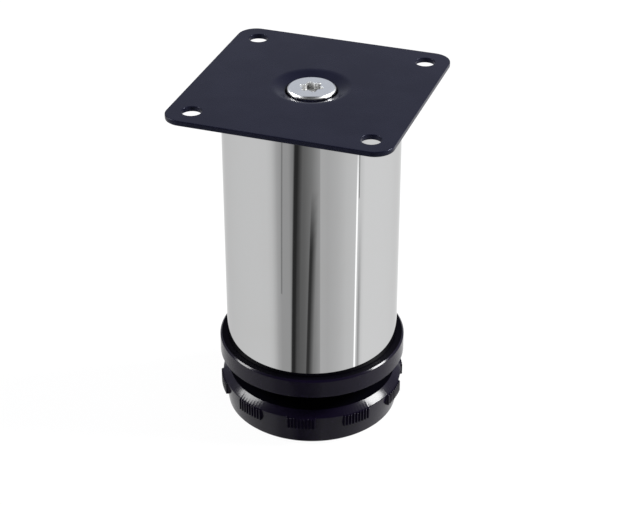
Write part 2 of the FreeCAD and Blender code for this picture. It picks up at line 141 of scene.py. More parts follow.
# Foot.
FOOT_TOP = foot_high.z
FOOT_BASE = 25.2 * MM
FOOT_BASE_CHAMFER = 0.5 * MM
FOOT_BASE_ROUND = 0.2 * MM
FOOT_BASE_FLAT = 1.2 * MM
FOOT_SHOULDER = 26.6 * MM
FOOT_SHOULDER_HEIGHT = 9.5 * MM
FOOT_SHOULDER_ROUND = 0.3 * MM
FOOT_BEVEL_TOP = 24.6 * MM
FOOT_BEVEL_ROUND = 0.35 * MM
FOOT_INSIDE = 22.1 * MM
FOOT_HUB = 11.7 * MM
FOOT_DECK_UNDERSIDE = FOOT_TOP - 2.6 * MM
FOOT_HEAD_ROOM = 7.2 * MM
FOOT_HEAD_POCKET = 9.1 * MM
FOOT_SOLE = 3.0 * MM
FOOT_BORE = 5.1 * MM
FOOT_RIM_ROUND = 0.25 * MM
FOOT_RIM_FLAT = 0.4 * MM
FOOT_DECK_ROUND = 0.4 * MM
FOOT_DECK_FLAT = 1.0 * MM
FOOT_WEB_DROP = 0.6 * MM
PAD_COUNT = 10
PAD_START = 30.3
PAD_HALF_ARC = 9.0
PAD_SIDE_ARC = 0.2
PAD_RADIUS = 26.85 * MM
PAD_UNDERSIDE = 5.8 * MM
PAD_TOP = FOOT_SHOULDER_HEIGHT - 0.35 * MM
RIB_RADIUS = 27.2 * MM
RIB_COUNT = 9
RIB_HALF_ARC = 0.55

# Photograph's viewpoint. Its distance is measured level from the tube's axis.
CAMERA_DISTANCE = 424.05 * MM
CAMERA_ABOVE_PLATE = 203.04 * MM
CAMERA_AZIMUTH = 19.34
CAMERA_OFF_AXIS = 0.218
CAMERA_PITCH = 31.139
CAMERA_LENS = 97.24

# Fineness of the meshes.
FINE_COLUMNS = 256
PLAIN_COLUMNS = 160
HOLE_COLUMNS = 64
BETWEEN_PADS_STEPS = 48
ARC_STEPS = 5
CARD_STEPS = 24
SHARP_EDGE = 40


class Shell:
    """A mesh in the making: rings of points joined by bands of faces, flat fills and caps."""

    def __init__(self):
        self.mesh = bmesh.new()

    def ring(self, points):
        return [self.mesh.verts.new(point) for point in points]

    def band(self, first, second):
        for a, b, c, d in zip(first, first[1:] + first[:1], second[1:] + second[:1], second):
            self.mesh.faces.new((a, b, c, d))

    def bands(self, rings, closed=False):
        """Faces between each ring and the next, and from the last back to the first on a closed section."""
        for first, second in zip(rings, rings[1:]):
            self.band(first, second)
        if closed:
            self.band(rings[-1], rings[0])

    def turned(self, path, columns, closed=False):
        """The surface that a path of (radius, height) points sweeps round the Z axis."""
        rings = [self.ring(circle(radius, height, columns)) for radius, height in path]
        self.bands(rings, closed)
        return rings

    def cap(self, ring):
        self.mesh.faces.new(ring)

    def fill(self, *rings):
        """Flat level triangles between an outer ring and the rings inside it."""
        edges = []
        for ring in rings:
            for a, b in zip(ring, ring[1:] + ring[:1]):
                edges.append(self.mesh.edges.get((a, b)) or self.mesh.edges.new((a, b)))
        bmesh.ops.triangle_fill(self.mesh, use_beauty=True, edges=edges, normal=UPWARDS)

    def piece(self, name):
        """The finished mesh as an object, with its faces turned outwards."""
        bmesh.ops.recalc_face_normals(self.mesh, faces=self.mesh.faces)
        data = bpy.data.meshes.new(name)
        self.mesh.to_mesh(data)
        self.mesh.free()
        piece = bpy.data.objects.new(name, data)
        bpy.context.scene.collection.objects.link(piece)
        return piece


def circle(radius, height, columns, centre=(0, 0)):
    angles = [TURN * column / columns for column in range(columns)]
    return [(centre[0] + radius * math.cos(a), centre[1] + radius * math.sin(a), height) for a in angles]


def rounded_square(half, corner, height):
    """The plate's outline at one level, with an arc at each corner."""
    steps = 4 * ARC_STEPS
    points = []
    for quarter, (across, up) in enumerate(((1, 1), (-1, 1), (-1, -1), (1, -1))):
        for step in range(steps + 1):
            angle = (quarter + step / steps) * TURN / 4
            x = across * (half - corner) + corner * math.cos(angle)
            y = up * (half - corner) + corner * math.sin(angle)
            points.append((x, y, height))
    return points


def rounded_path(corners):
    """Points along straight runs through (across, up, radius) corners, rounded by arcs of those radii."""
    path = [corners[0][:2]]
    for before, corner, after in zip(corners, corners[1:], corners[2:]):
        here = Vector(corner[:2])
        if not corner[2]:
            path.append(tuple(here))
            continue
        back = (Vector(before[:2]) - here).normalized()
        onward = (Vector(after[:2]) - here).normalized()
        half_angle = back.angle(onward) / 2
        reach = corner[2] / math.tan(half_angle)
        centre = here + (back + onward).normalized() * corner[2] / math.sin(half_angle)
        start = here + back * reach - centre
        sweep = start.angle_signed(here + onward * reach - centre)
        for step in range(ARC_STEPS + 1):
            angle = -sweep * step / ARC_STEPS
            x = start.x * math.cos(angle) - start.y * math.sin(angle)
            y = start.x * math.sin(angle) + start.y * math.cos(angle)
            path.append((centre.x + x, centre.y + y))
    path.append(corners[-1][:2])
    return path


def soften(piece):
    """Smooth shading that breaks at hard edges and keeps flat faces flat."""
    piece.data.shade_smooth()
    piece.data.set_sharp_from_angle(angle=math.radians(SHARP_EDGE))
    flatten = piece.modifiers.new("flat_faces_stay_flat", "WEIGHTED_NORMAL")
    flatten.keep_sharp = True


def combine(piece, tool, operation):
    """Add a tool's solid to a piece, or cut it out, and drop the tool."""
    join = piece.modifiers.new("combine", "BOOLEAN")
    join.operation = operation
    join.object = tool
    join.solver = "EXACT"
    view = bpy.context.evaluated_depsgraph_get()
    joined = bpy.data.meshes.new_from_object(piece.evaluated_get(view))
    piece.modifiers.remove(join)
    piece.data = joined
    bpy.data.objects.remove(tool)


def radial_webs(count, start, end, bottom, top):
    """Upright webs from the hub out to the wall, evenly round the axis, with softened edges."""
    shell = Shell()
    for index in range(count):
        angle = TURN * index / count
        along = Vector((math.cos(angle), math.sin(angle), 0))
        side = Vector((-math.sin(angle), math.cos(angle), 0)) * WEB_THICKNESS / 2
        footprint = [along * start - side, along * end - side, along * end + side, along * start + side]
        lower = shell.ring([point + Vector((0, 0, bottom)) for point in footprint])
        upper = shell.ring([point + Vector((0, 0, top)) for point in footprint])
        shell.band(lower, upper)
        shell.cap(lower)
        shell.cap(upper)
    edges = shell.mesh.edges[:]
    bmesh.ops.bevel(shell.mesh, geom=edges, offset=WEB_EDGE_ROUND, segments=2, affect="EDGES", profile=0.5)
    return shell.piece("webs")


def dress(piece, node, body, finish):
    """Put a finished piece in place of its solid."""
    soften(piece)
    piece.data.materials.clear()
    piece.data.materials.append(finish)
    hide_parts(node)
    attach(piece, body)


def plate_sheet():
    """Mounting plate: flat faces, rounded edges, four bolt holes and the dish for the screw's head."""
    shell = Shell()
    flat = 2 * PLATE_EDGE_ROUND
    edge = rounded_path([
        (-flat, PLATE_TOP, 0),
        (0, PLATE_TOP, PLATE_EDGE_ROUND),
        (0, PLATE_UNDERSIDE, PLATE_EDGE_ROUND),
        (-flat, PLATE_UNDERSIDE, 0),
    ])
    rims = [shell.ring(rounded_square(PLATE_HALF + out, PLATE_CORNER + out, z)) for out, z in edge]
    shell.bands(rims)
    upper, lower = [rims[0]], [rims[-1]]
    hole_edge = BOLT_RADIUS + 2 * HOLE_EDGE_ROUND
    hole = rounded_path([
        (hole_edge, PLATE_TOP, 0),
        (BOLT_RADIUS, PLATE_TOP, HOLE_EDGE_ROUND),
        (BOLT_RADIUS, PLATE_UNDERSIDE, HOLE_EDGE_ROUND),
        (hole_edge, PLATE_UNDERSIDE, 0),
    ])
    for across in (-BOLT_OFFSET, BOLT_OFFSET):
        for up in (-BOLT_OFFSET, BOLT_OFFSET):
            walls = [shell.ring(circle(radius, z, HOLE_COLUMNS, (across, up))) for radius, z in hole]
            shell.bands(walls)
            upper.append(walls[0])
            lower.append(walls[-1])
    dish_edge = DISH_UPPER_RIM + DISH_RIM_BEND / 2
    dish = shell.turned(rounded_path([
        (dish_edge, PLATE_TOP, 0),
        (DISH_UPPER_RIM, PLATE_TOP, DISH_RIM_BEND),
        (DISH_SEAT, DISH_FLOOR + DISH_SEAT_RISE, DISH_SEAT_RISE),
        (DISH_UPPER_FLOOR, DISH_FLOOR, HOLE_EDGE_ROUND),
        (SCREW_HOLE, DISH_FLOOR, HOLE_EDGE_ROUND),
        (SCREW_HOLE, DISH_UNDERSIDE, HOLE_EDGE_ROUND),
        (DISH_FLOOR_RADIUS, DISH_UNDERSIDE, DISH_BEND),
        (DISH_RIM, PLATE_UNDERSIDE, DISH_BEND),
        (dish_edge, PLATE_UNDERSIDE, 0),
    ]), PLAIN_COLUMNS)
    shell.fill(*upper, dish[0])
    shell.fill(*lower, dish[-1])
    return shell.piece("plate_sheet")


def thread_ring(shell, radius, height, pitch, fade):
    """One ring of a right-hand thread: crests at the full radius, and grooves as deep as the fade says."""
    depth = THREAD_DEPTH_SHARE * pitch * fade
    points = []
    for column in range(THREAD_COLUMNS):
        angle = TURN * column / THREAD_COLUMNS
        phase = (height / pitch - column / THREAD_COLUMNS) % 1
        groove = min(1, max(0, (THREAD_GROOVE_SHARE - abs(phase - 0.5)) / THREAD_FLANK_SHARE))
        reach = radius - depth * groove
        points.append((reach * math.cos(angle), reach * math.sin(angle), height))
    return shell.ring(points)


def threaded_shank(shell, radius, bottom, top, pitch, run_out, tip_low):
    """Rings of a threaded shank: its thread runs out towards the head, and its tip is chamfered."""
    rows = round((top - bottom) / pitch * THREAD_ROWS_A_TURN)
    rings = []
    for row in range(rows + 1):
        height = bottom + (top - bottom) * row / rows
        from_tip = height - bottom if tip_low else top - height
        from_head = top - height if tip_low else height - bottom
        chamfered = min(radius, radius - THREAD_DEPTH_SHARE * pitch + from_tip)
        fade = min(1, from_head / run_out) * min(1, from_tip / pitch)
        rings.append(thread_ring(shell, chamfered, height, pitch, fade))
    shell.bands(rings)
    return rings


def six_lobe(share, height, columns, grow):
    """The socket's outline at one level: six rounded lobes with rounded lands between them."""
    middle = (SOCKET_LOBES + SOCKET_LANDS) / 2 * share + grow
    swing = (SOCKET_LOBES - SOCKET_LANDS) / 2 * share
    points = []
    for column in range(columns):
        angle = TURN * column / columns
        radius = middle + swing * math.cos(6 * angle)
        points.append((radius * math.cos(angle), radius * math.sin(angle), height))
    return points


def driven_screw():
    """Plate screw: threaded shank, low round head with a rolled edge, six-lobe socket."""
    shell = Shell()
    columns = FINE_COLUMNS - FINE_COLUMNS % 6
    top = screw_high.z
    shank = threaded_shank(shell, SCREW_SHANK, screw_low.z, DISH_FLOOR, SCREW_PITCH, SCREW_RUN_OUT, True)
    shell.cap(shank[0])
    head = shell.turned(rounded_path([
        (SCREW_NECK, DISH_FLOOR, 0),
        (SCREW_HEAD, DISH_FLOOR, SCREW_SEAT_ROUND),
        (SCREW_HEAD, top, SCREW_HEAD_ROUND),
        (SCREW_HEAD - 2 * SCREW_HEAD_ROUND, top, 0),
    ]), columns)
    shell.fill(head[0], shank[-1])
    soft = SOCKET_EDGE_ROUND
    socket = []
    for share, depth, grow in (
        (1, 0, 3 * soft),
        (1, 0, soft),
        (1, 0.3 * soft, 0.3 * soft),
        (1, soft, 0),
        (1, SOCKET_DEPTH - soft, 0),
        (SOCKET_FLOOR_SHARE, SOCKET_DEPTH, 0),
    ):
        socket.append(shell.ring(six_lobe(share, top - depth, columns, grow)))
    shell.bands([head[-1]] + socket)
    shell.cap(socket[-1])
    return shell.piece("driven_screw")


def chrome_tube():
    """Leg tube: a plain ring section with softened ends."""
    shell = Shell()
    section = rounded_path([
        (TUBE_BORE + TUBE_END_ROUND, tube_low.z, 0),
        (TUBE_RADIUS, tube_low.z, TUBE_END_ROUND),
        (TUBE_RADIUS, tube_high.z, TUBE_END_ROUND),
        (TUBE_BORE, tube_high.z, TUBE_END_ROUND),
        (TUBE_BORE, tube_low.z, TUBE_END_ROUND),
        (TUBE_BORE + 1.2 * TUBE_END_ROUND, tube_low.z, 0),
    ])
    shell.turned(section[:-1], FINE_COLUMNS, closed=True)
    return shell.piece("chrome_tube")


def plug_moulding():
    """Tube plug: flange, sleeve and hub turned as one, with webs inside and a pocket for the nut."""
    shell = Shell()
    soft = FLANGE_SOFTNESS
    shell.turned(rounded_path([
        (STEM_HOLE + soft, plug_low.z, 0),
        (FLANGE_RADIUS - FLANGE_LOWER_CHAMFER, plug_low.z, soft),
        (FLANGE_RADIUS, plug_low.z + FLANGE_LOWER_CHAMFER, soft),
        (FLANGE_RADIUS, FLANGE_TOP - FLANGE_CHAMFER, FLANGE_TOP_SOFTNESS),
        (FLANGE_RADIUS - FLANGE_CHAMFER, FLANGE_TOP, FLANGE_TOP_SOFTNESS),
        (SLEEVE_RADIUS, FLANGE_TOP, soft),
        (SLEEVE_RADIUS, plug_high.z - SLEEVE_LEAD_IN, soft),
        (SLEEVE_RADIUS - SLEEVE_LEAD_IN / 2, plug_high.z, soft),
        (SLEEVE_BORE, plug_high.z, soft),
        (SLEEVE_BORE, PLUG_FLOOR, soft),
        (PLUG_HUB, PLUG_FLOOR, soft),
        (PLUG_HUB, PLUG_HUB_TOP, soft),
        (STEM_HOLE, PLUG_HUB_TOP, soft),
        (STEM_HOLE, plug_low.z + soft, 0),
    ]), PLAIN_COLUMNS, closed=True)
    piece = shell.piece("plug_moulding")
    inner = PLUG_HUB - WEB_THICKNESS / 2
    outer = SLEEVE_BORE + WEB_THICKNESS / 2
    combine(piece, radial_webs(PLUG_WEBS, inner, outer, PLUG_FLOOR - WEB_THICKNESS, PLUG_WEB_TOP), "UNION")
    prism = Shell()
    levels = (plug_low.z - NUT_CUT_PAST, nut_high.z)
    rings = [prism.ring(circle(NUT_FLATS / math.sqrt(3), level, 6)) for level in levels]
    prism.bands(rings)
    prism.cap(rings[0])
    prism.cap(rings[1])
    combine(piece, prism.piece("nut_pocket"), "DIFFERENCE")
    return piece


def threaded_stem():
    """Foot stem: round head inside the foot and a threaded shank that runs in the plug's nut."""
    shell = Shell()
    head_edge = STEM_HEAD - STEM_HEAD_CHAMFER
    head = shell.turned([
        (head_edge, stem_low.z),
        (STEM_HEAD, stem_low.z + STEM_HEAD_CHAMFER),
        (STEM_HEAD, STEM_HEAD_TOP - STEM_HEAD_CHAMFER),
        (head_edge, STEM_HEAD_TOP),
    ], PLAIN_COLUMNS)
    shank = threaded_shank(shell, STEM_RADIUS, STEM_HEAD_TOP, stem_high.z, STEM_PITCH, STEM_RUN_OUT, False)
    shell.cap(head[0])
    shell.fill(head[-1], shank[0])
    shell.cap(shank[-1])
    return shell.piece("threaded_stem")


def grip_columns():
    """Directions round the foot with, for each, how far the pad and a rib on it stand out, from 0 to 1."""
    rib_section = ((-1, 0), (-0.78, 0.7), (-0.5, 1), (0, 1), (0.5, 1), (0.78, 0.7), (1, 0))
    pitch = 2 * (PAD_HALF_ARC - RIB_HALF_ARC) / (RIB_COUNT - 1)
    groove = pitch - 2 * RIB_HALF_ARC
    pad_side = ((PAD_SIDE_ARC, 0), (0.4 * PAD_SIDE_ARC, 0.7))
    plain = 360 / PAD_COUNT - 2 * (PAD_HALF_ARC + PAD_SIDE_ARC)
    columns = []
    for pad in range(PAD_COUNT):
        start = PAD_START + pad * 360 / PAD_COUNT - PAD_HALF_ARC
        end = start + 2 * PAD_HALF_ARC
        columns += [(start - out, height, 0) for out, height in pad_side]
        for rib in range(RIB_COUNT):
            crest = start + RIB_HALF_ARC + rib * pitch
            columns += [(crest + share * RIB_HALF_ARC, 1, height) for share, height in rib_section]
            if rib < RIB_COUNT - 1:
                columns += [(crest + RIB_HALF_ARC + groove * step / 4, 1, 0) for step in (1, 2, 3)]
        columns += [(end + out, height, 0) for out, height in reversed(pad_side)]
        for step in range(1, BETWEEN_PADS_STEPS):
            columns.append((end + PAD_SIDE_ARC + plain * step / BETWEEN_PADS_STEPS, 0, 0))
    return columns


def foot_side():
    """The foot's outer profile from floor to deck, as (radius, height, share of the pads' relief)."""
    lean = (FOOT_SHOULDER - FOOT_BASE) / (FOOT_SHOULDER_HEIGHT - FOOT_BASE_CHAMFER)

    def wall(height):
        return FOOT_BASE + lean * (height - FOOT_BASE_CHAMFER)

    base = rounded_path([
        (FOOT_INSIDE + FOOT_BASE_FLAT, 0, 0),
        (FOOT_BASE - FOOT_BASE_CHAMFER, 0, FOOT_BASE_ROUND),
        (FOOT_BASE, FOOT_BASE_CHAMFER, FOOT_BASE_ROUND),
        (wall(PAD_UNDERSIDE), PAD_UNDERSIDE, 0),
    ])
    profile = [(radius, height, 0) for radius, height in base]
    for rise, share in ((0.03, 0.8), (0.12, 0.97), (0.25, 1)):
        height = PAD_UNDERSIDE + rise * MM
        profile.append((wall(height), height, share))
    top = rounded_path([
        (wall(PAD_TOP), PAD_TOP, 0),
        (FOOT_SHOULDER, FOOT_SHOULDER_HEIGHT, FOOT_SHOULDER_ROUND),
        (FOOT_BEVEL_TOP, FOOT_TOP, FOOT_BEVEL_ROUND),
        (FOOT_BEVEL_TOP - FOOT_DECK_FLAT, FOOT_TOP, 0),
    ])
    relief = (1, 0.97, 0.9, 0.75, 0.45, 0.15)
    for index, (radius, height) in enumerate(top):
        profile.append((radius, height, relief[index] if index < len(relief) else 0))
    return profile


def foot_moulding():
    """Foot: bevelled shell with ribbed grip pads, a hub round the stem's head and webs under the deck.

    Each point keeps how far down it lies in a groove between ribs, which takes the plastic's gloss off there
    as painted shade.
    """
    shell = Shell()
    groove = shell.mesh.verts.layers.float.new("groove")
    columns = grip_columns()
    rings = []
    for radius, height, relief in foot_side():
        points = []
        for degrees, pad, rib in columns:
            reach = radius + relief * (pad * (PAD_RADIUS - radius) + rib * (RIB_RADIUS - PAD_RADIUS))
            angle = math.radians(degrees)
            points.append((reach * math.cos(angle), reach * math.sin(angle), height))
        rings.append(shell.ring(points))
        for vertex, (degrees, pad, rib) in zip(rings[-1], columns):
            # Painted shade: how far into a groove the point lies, which takes the gloss off there.
            vertex[groove] = relief * pad * (1 - rib)
    shell.bands(rings)
    underside = shell.turned(rounded_path([
        (FOOT_INSIDE + FOOT_RIM_FLAT, 0, 0),
        (FOOT_INSIDE, 0, FOOT_RIM_ROUND),
        (FOOT_INSIDE, FOOT_DECK_UNDERSIDE, FOOT_DECK_ROUND),
        (FOOT_HUB, FOOT_DECK_UNDERSIDE, FOOT_DECK_ROUND),
        (FOOT_HUB, 0, FOOT_RIM_ROUND),
        (FOOT_HUB - FOOT_RIM_FLAT, 0, 0),
    ]), PLAIN_COLUMNS)
    bore = shell.turned(rounded_path([
        (FOOT_BORE + FOOT_RIM_FLAT, FOOT_TOP, 0),
        (FOOT_BORE, FOOT_TOP, FOOT_RIM_ROUND),
        (FOOT_BORE, FOOT_HEAD_ROOM, 0),
        (FOOT_HEAD_POCKET, FOOT_HEAD_ROOM, 0),
        (FOOT_HEAD_POCKET, FOOT_SOLE, 0),
    ]), PLAIN_COLUMNS)
    shell.fill(rings[0], underside[0])
    shell.cap(underside[-1])
    shell.fill(rings[-1], bore[0])
    shell.cap(bore[-1])
    piece = shell.piece("foot_moulding")
    inner = FOOT_HUB - WEB_THICKNESS / 2
    outer = FOOT_INSIDE + WEB_THICKNESS / 2
    webs = radial_webs(PAD_COUNT, inner, outer, FOOT_WEB_DROP, FOOT_DECK_UNDERSIDE + WEB_THICKNESS / 2)
    combine(piece, webs, "UNION")
    return piece


class Field:
    """An output socket of a node tree. Sums on it add Math nodes to that tree."""

    def __init__(self, bench, socket):
        self.bench = bench
        self.socket = socket

    def sum(self, operation, first, second):
        return self.bench.node("ShaderNodeMath", {"operation": operation}, {0: first, 1: second})

    def __add__(self, other):
        return self.sum("ADD", self, other)

    def __sub__(self, other):
        return self.sum("SUBTRACT", self, other)

    def __rsub__(self, other):
        return self.sum("SUBTRACT", other, self)

    def __mul__(self, other):
        return self.sum("MULTIPLY", self, other)

    __radd__ = __add__
    __rmul__ = __mul__


class Bench:
    """A node tree that is wired up: every node but the sums comes from its node method."""

    def __init__(self, tree):
        self.tree = tree
        tree.nodes.clear()

    def node(self, kind, settings=None, sockets=None, output=0):
        """One of the outputs of a new node, which gets its settings first and then its values or links."""
        node = self.tree.nodes.new(kind)
        for name, setting in (settings or {}).items():
            setattr(node, name, setting)
        for name, given in (sockets or {}).items():
            if isinstance(given, Field):
                self.tree.links.new(given.socket, node.inputs[name])
            else:
                node.inputs[name].default_value = given
        return Field(self, node.outputs[output]) if node.outputs else None

    def place(self, stretch=(1, 1, 1)):
        """Where on the piece, in metres, with each direction stretched."""
        point = self.node("ShaderNodeTexCoord", output="Object")
        return self.node("ShaderNodeVectorMath", {"operation": "MULTIPLY"}, {0: point, 1: stretch})

    def noise(self, size, detail=3, rough=0.55, stretch=(1, 1, 1)):
        """Cloudy values about 0.5, with patches of about the given size."""
        sockets = {"Vector": self.place(stretch), "Scale": 1 / size, "Detail": detail, "Roughness": rough}
        return self.node("ShaderNodeTexNoise", {}, sockets)

    def between(self, value, low, high, start=0.0, end=1.0):
        """A smooth step of a value from one level to another."""
        settings = {"interpolation_type": "SMOOTHSTEP", "clamp": True}
        sockets = {"Value": value, "From Min": low, "From Max": high, "To Min": start, "To Max": end}
        return self.node("ShaderNodeMapRange", settings, sockets)

    def mix(self, share, first, second):
        """A colour between two, by a share."""
        sockets = {"Factor": share, 6: first, 7: second}
        return self.node("ShaderNodeMix", {"data_type": "RGBA"}, sockets, output=2)

    def from_axis(self):
        """How far out from the tube's axis, in metres."""
        level = self.place((1, 1, 0))
        return self.node("ShaderNodeVectorMath", {"operation": "LENGTH"}, {0: level}, output="Value")

    def height(self):
        """How far above the floor at rest, in metres."""
        return self.node("ShaderNodeSeparateXYZ", {}, {"Vector": self.place()}, output="Z")

    def bump(self, height, depth):
        """A surface direction from a height field whose full swing is a depth in metres."""
        return self.node("ShaderNodeBump", {}, {"Height": height, "Distance": depth, "Strength": 1.0})

    def surface(self, sockets):
        shader = self.node("ShaderNodeBsdfPrincipled", {}, sockets)
        self.node("ShaderNodeOutputMaterial", {}, {"Surface": shader})


def finish(name):
    """A new material and the bench to wire it on."""
    material = bpy.data.materials.new(name)
    material.use_nodes = True
    return material, Bench(material.node_tree)


def grey(level, tint=(1, 1, 1)):
    return (level * tint[0], level * tint[1], level * tint[2], 1)


def chrome_plating():
    """Bright chrome: faint draw lines along the tube and a thin uneven haze from handling."""
    material, bench = finish("chrome_plating")
    haze = bench.noise(18 * MM, 5, 0.6)
    lines = bench.noise(1.2 * MM, 3, 0.5, (1, 1, 0.02))
    patches = bench.between(haze, 0.4, 0.9)
    bench.surface({
        "Base Color": bench.mix(patches, grey(0.555, (1, 1.005, 1.01)), grey(0.545, (1, 1.0, 0.995))),
        "Metallic": 1.0,
        "Specular Tint": grey(0.8),
        "Roughness": 0.025 + 0.012 * patches + 0.01 * lines,
        "Normal": bench.bump(lines, 0.0004 * MM),
    })
    return material


def satin_black_paint():
    """Blue-black stoved paint with a fine orange peel and dull patches, smoother in the pressed dish."""
    material, bench = finish("satin_black_paint")
    peel = bench.noise(0.7 * MM, 2, 0.5)
    clouds = bench.noise(16 * MM, 4, 0.6)
    patches = bench.between(clouds, 0.35, 0.7)
    burnished = bench.between(bench.from_axis(), DISH_SEAT, DISH_UPPER_RIM + DISH_RIM_BEND / 2, 1.0, 0.0)
    bench.surface({
        "Base Color": bench.mix(patches, grey(0.005, (0.82, 0.84, 2.15)), grey(0.007, (0.85, 0.87, 1.95))),
        "Roughness": 0.21 + 0.08 * clouds + 0.04 * peel - 0.09 * burnished,
        "Specular IOR Level": 0.13,
        "Specular Tint": (0.7, 0.75, 1.0, 1),
        "Normal": bench.bump(peel, 0.004 * MM),
    })
    return material


def zinc_plating():
    """Bright blue-white zinc on the plate screw, with fine turning rings, and a duller, darker socket and
    edge whose darkness is partly plating and partly painted shade.
    """
    material, bench = finish("zinc_plating")
    clouds = bench.noise(2.5 * MM, 4, 0.6)
    rings = bench.node(
        "ShaderNodeTexWave",
        {"wave_type": "RINGS", "rings_direction": "Z"},
        {"Vector": bench.place(), "Scale": 0.35 / MM, "Distortion": 1.5, "Detail": 2.0},
        output="Fac",
    )
    height, top = bench.height(), screw_high.z
    # Painted shade, partly a duller plating: below the head's top face the zinc is darker, in the socket, on
    # the rolled edge and down the side.
    sunk_dull_and_shaded = bench.between(height, top - 0.7 * MM, top - 0.1 * MM, 1.0, 0.0)
    below_edge = bench.between(height, top - 1.0 * MM, top - 0.4 * MM, 1.0, 0.0)
    flank = below_edge * bench.between(bench.from_axis(), SOCKET_LOBES, SCREW_HEAD - SCREW_HEAD_ROUND)
    bright = bench.mix(clouds, grey(0.93, (0.985, 1.0, 1.015)), grey(0.985, (0.99, 1.0, 1.01)))
    bench.surface({
        # Painted shade in part: the darker zinc below the top face.
        "Base Color": bench.mix(sunk_dull_and_shaded, bright, grey(0.48, (1.0, 1.0, 0.99))),
        "Metallic": 1.0,
        "Roughness": 0.15 + 0.12 * clouds + 0.04 * rings + 0.28 * sunk_dull_and_shaded - 0.36 * flank,
        "Normal": bench.bump(rings, 0.002 * MM),
    })
    return material


def thread_zinc_plating():
    """Duller zinc on the rolled thread of the stem and on the plug's nut."""
    material, bench = finish("thread_zinc_plating")
    clouds = bench.noise(3 * MM, 4, 0.65)
    grain = bench.noise(0.4 * MM, 2, 0.5)
    bench.surface({
        "Base Color": bench.mix(clouds, grey(0.40, (0.98, 1.0, 1.04)), grey(0.58, (1.0, 1.0, 1.0))),
        "Metallic": 1.0,
        "Roughness": 0.30 + 0.2 * clouds,
        "Normal": bench.bump(grain, 0.004 * MM),
    })
    return material


def mill_steel():
    """Unplated steel inside the tube: grey, oily, with darker patches."""
    material, bench = finish("mill_steel")
    clouds = bench.noise(6 * MM, 5, 0.65)
    grain = bench.noise(0.6 * MM, 3, 0.5)
    bench.surface({
        "Base Color": bench.mix(clouds, grey(0.20, (1.0, 0.97, 0.93)), grey(0.42, (1.0, 0.99, 0.97))),
        "Metallic": 1.0,
        "Roughness": 0.38 + 0.25 * clouds,
        "Normal": bench.bump(grain, 0.006 * MM),
    })
    return material


def black_moulding(name, gloss, painted_shade_level):
    """Black moulded plastic with a cool cast and a gloss on its skin.

    Grooves have no gloss, as painted shade between the ribs. The top from the painted shade level up has no
    gloss and a darker black, as painted shade.
    """
    material, bench = finish(name)
    flow = bench.noise(9 * MM, 4, 0.6)
    grain = bench.noise(0.35 * MM, 2, 0.5)
    # Painted shade: the top from this level up is made matt and darker.
    matt = bench.between(bench.height(), painted_shade_level - 0.03 * MM, painted_shade_level)
    groove = bench.node("ShaderNodeAttribute", {"attribute_name": "groove"}, output="Fac")
    skin = bench.mix(flow, grey(0.0028, (0.7, 0.32, 2.2)), grey(0.0036, (0.75, 0.36, 2.0)))
    bench.surface({
        # Painted shade: a darker black on the top than on the skin.
        "Base Color": bench.mix(matt, skin, grey(0.0008, (1.0, 0.8, 2.5))),
        "Roughness": 0.5 + 0.2 * flow,
        "Specular IOR Level": 0.02,
        # Painted shade: no coat in the grooves nor on the top.
        "Coat Weight": (1 - matt) * (1 - groove) * (0.62 + 0.3 * flow),
        "Coat Roughness": gloss,
        "Coat IOR": 1.29,
        "Normal": bench.bump(grain, 0.0025 * MM),
    })
    return material


def photo_camera():
    """The photograph's viewpoint: in front, to the right of the plate's edge, looking down on the plate."""
    height = PLATE_TOP + CAMERA_ABOVE_PLATE
    azimuth = math.radians(CAMERA_AZIMUTH)
    yaw = azimuth - math.radians(CAMERA_OFF_AXIS)
    pitch = math.radians(CAMERA_PITCH)
    data = bpy.data.cameras.new("photo_camera")
    data.sensor_width = 36.0
    data.lens = CAMERA_LENS
    data.clip_start = 0.01
    camera = bpy.data.objects.new("photo_camera", data)
    camera.location = (CAMERA_DISTANCE * math.sin(azimuth), -CAMERA_DISTANCE * math.cos(azimuth), height)
    view = Vector((-math.sin(yaw) * math.cos(pitch), math.cos(yaw) * math.cos(pitch), -math.sin(pitch)))
    camera.rotation_euler = view.to_track_quat("-Z", "Y").to_euler()
    bpy.context.scene.collection.objects.link(camera)
    bpy.context.scene.camera = camera
    return azimuth


def toward(camera_side, turn, lift):
    """A direction from the leg, so many degrees to the right of the camera's side and above the floor."""
    heading = camera_side + math.radians(turn - 90)
    level = math.cos(math.radians(lift))
    return Vector((level * math.cos(heading), level * math.sin(heading), math.sin(math.radians(lift))))


def softbox(name, camera_side, turn, lift, distance, size, power):
    """A square lamp at a direction from the leg, turned to face it."""
    data = bpy.data.lights.new(name, "AREA")
    data.size = size
    data.energy = power
    lamp = bpy.data.objects.new(name, data)
    lamp.location = toward(camera_side, turn, lift) * distance
    lamp.rotation_euler = (-lamp.location).to_track_quat("-Z", "Y").to_euler()
    bpy.context.scene.collection.objects.link(lamp)


def glow_card(name, rows, glows):
    """A card of painted reflection that only bright surfaces mirror, from rows of points and the glow at
    each of them.
    """
    shell = Shell()
    rings = [shell.ring(row) for row in rows]
    for first, second in zip(rings, rings[1:]):
        for a, b, c, d in zip(first, first[1:], second[1:], second):
            shell.mesh.faces.new((a, b, c, d))
    card = shell.piece(name)
    glow = card.data.attributes.new("glow", "FLOAT_COLOR", "POINT")
    for index, (tone, cover) in enumerate(glows):
        glow.data[index].color = (tone, tone, tone, cover)
    card.data.materials.append(bpy.data.materials.get("studio_card") or card_glow())
    # Painted reflection: the glowing card is unseen by the camera, lights nothing and casts no shadow, so it
    # shows only in glossy surfaces.
    card.visible_camera = card.visible_diffuse = card.visible_shadow = card.visible_transmission = False
    return card


